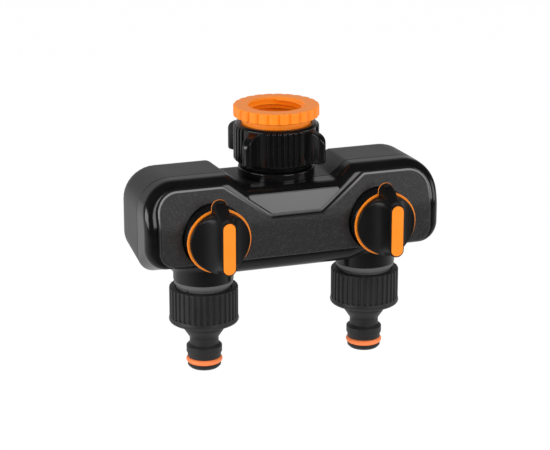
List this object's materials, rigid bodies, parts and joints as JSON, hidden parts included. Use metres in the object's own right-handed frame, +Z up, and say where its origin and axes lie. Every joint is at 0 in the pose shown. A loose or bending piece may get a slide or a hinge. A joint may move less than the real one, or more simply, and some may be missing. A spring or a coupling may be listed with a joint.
{
  "type": "hose splitter",
  "caption": "Garden tap splitter: swivelling inlet nut with a reducer, moulded housing with shut-off knobs, and screw-on push-fit hose nipples at its outlets.",
  "frame": {"origin": "on the tap inlet's axis, where the reducer's threaded wall begins under its mouth bevel", "axes": "+Z up out of the tap inlet, X across the outlets, the knobs face -Y"},
  "size_m": [0.146, 0.0761, 0.1229],
  "materials": {
    "shell_black": "satin",
    "gloss_black": "gloss",
    "knob_black": "semi-gloss",
    "fascia_black": "fine spark texture",
    "panel_black": "satin",
    "core_grey": "satin",
    "orange": "satin",
    "seal_orange": "matt",
    "rubber_black": "matt",
    "valve_white": "satin",
    "steel": "zinc plated",
    "connector_black": "matt"
  },
  "bodies": {
    "housing": {"front_shell": "shell_black", "rear_cover": "shell_black", "fascia_plate": "fascia_black", "center_panel": "panel_black", "cover_screws": "steel", "manifold_core": "core_grey", "inlet_collar": "gloss_black", "inlet_tailpiece": "gloss_black", "tailpiece_o_ring": "rubber_black", "nut_clip": "steel", "union_washer": "rubber_black", "left_bonnet": "gloss_black", "left_bonnet_o_ring": "rubber_black", "left_ball_seats": "valve_white", "right_bonnet": "gloss_black", "right_bonnet_o_ring": "rubber_black", "right_ball_seats": "valve_white"},
    "swivel_nut": {"swivel_nut": "gloss_black"},
    "reducer_seal": {"reducer_washer": "rubber_black"},
    "reducer": {"inlet_reducer": "orange"},
    "left_valve": {"left_knob": "knob_black", "left_dial_ring": "orange", "left_grip_inlay": "orange", "left_knob_screw": "steel", "left_stem": "valve_white", "left_stem_o_rings": "rubber_black", "left_ball": "valve_white"},
    "left_connector_seal": {"left_connector_washer": "rubber_black"},
    "left_connector": {"left_connector": "connector_black", "left_nipple_o_ring": "seal_orange"},
    "right_valve": {"right_knob": "knob_black", "right_dial_ring": "orange", "right_grip_inlay": "orange", "right_knob_screw": "steel", "right_stem": "valve_white", "right_stem_o_rings": "rubber_black", "right_ball": "valve_white"},
    "right_connector_seal": {"right_connector_washer": "rubber_black"},
    "right_connector": {"right_connector": "connector_black", "right_nipple_o_ring": "seal_orange"}
  },
  "joints": [
    {"name": "inlet_swivel", "type": "hinge", "parent": "housing", "child": "swivel_nut", "pos_m": [0, 0, -0.018], "axis": [0, 0, 1], "continuous": true},
    {"name": "reducer_travel", "type": "slide", "parent": "swivel_nut", "child": "reducer_seal", "axis": [0, 0, 1], "range_m": [0, 0.01155]},
    {"name": "reducer_turn", "type": "hinge", "parent": "reducer_seal", "child": "reducer", "pos_m": [0, 0, 0], "axis": [0, 0, 1], "range_deg": [0, 1800]},
    {"name": "left_valve_turn", "type": "hinge", "parent": "housing", "child": "left_valve", "pos_m": [-0.041, -0.03, -0.0507], "axis": [0, 1, 0], "range_deg": [0, 90]},
    {"name": "left_connector_travel", "type": "slide", "parent": "housing", "child": "left_connector_seal", "axis": [0, 0, -1], "range_m": [0, 0.0109]},
    {"name": "left_connector_turn", "type": "hinge", "parent": "left_connector_seal", "child": "left_connector", "pos_m": [-0.041, -0.0131, -0.09], "axis": [0, 0, -1], "range_deg": [0, 2160]},
    {"name": "right_valve_turn", "type": "hinge", "parent": "housing", "child": "right_valve", "pos_m": [0.041, -0.03, -0.0507], "axis": [0, 1, 0], "range_deg": [0, 90]},
    {"name": "right_connector_travel", "type": "slide", "parent": "housing", "child": "right_connector_seal", "axis": [0, 0, -1], "range_m": [0, 0.0109]},
    {"name": "right_connector_turn", "type": "hinge", "parent": "right_connector_seal", "child": "right_connector", "pos_m": [0.041, -0.0131, -0.09], "axis": [0, 0, -1], "range_deg": [0, 2160]}
  ],
  "couplings": [
    {"joint": "reducer_travel", "follows": "reducer_turn", "m_per_rad": 0.00036749},
    {"joint": "left_connector_travel", "follows": "left_connector_turn", "m_per_rad": 0.00028876},
    {"joint": "right_connector_travel", "follows": "right_connector_turn", "m_per_rad": 0.00028876}
  ]
}
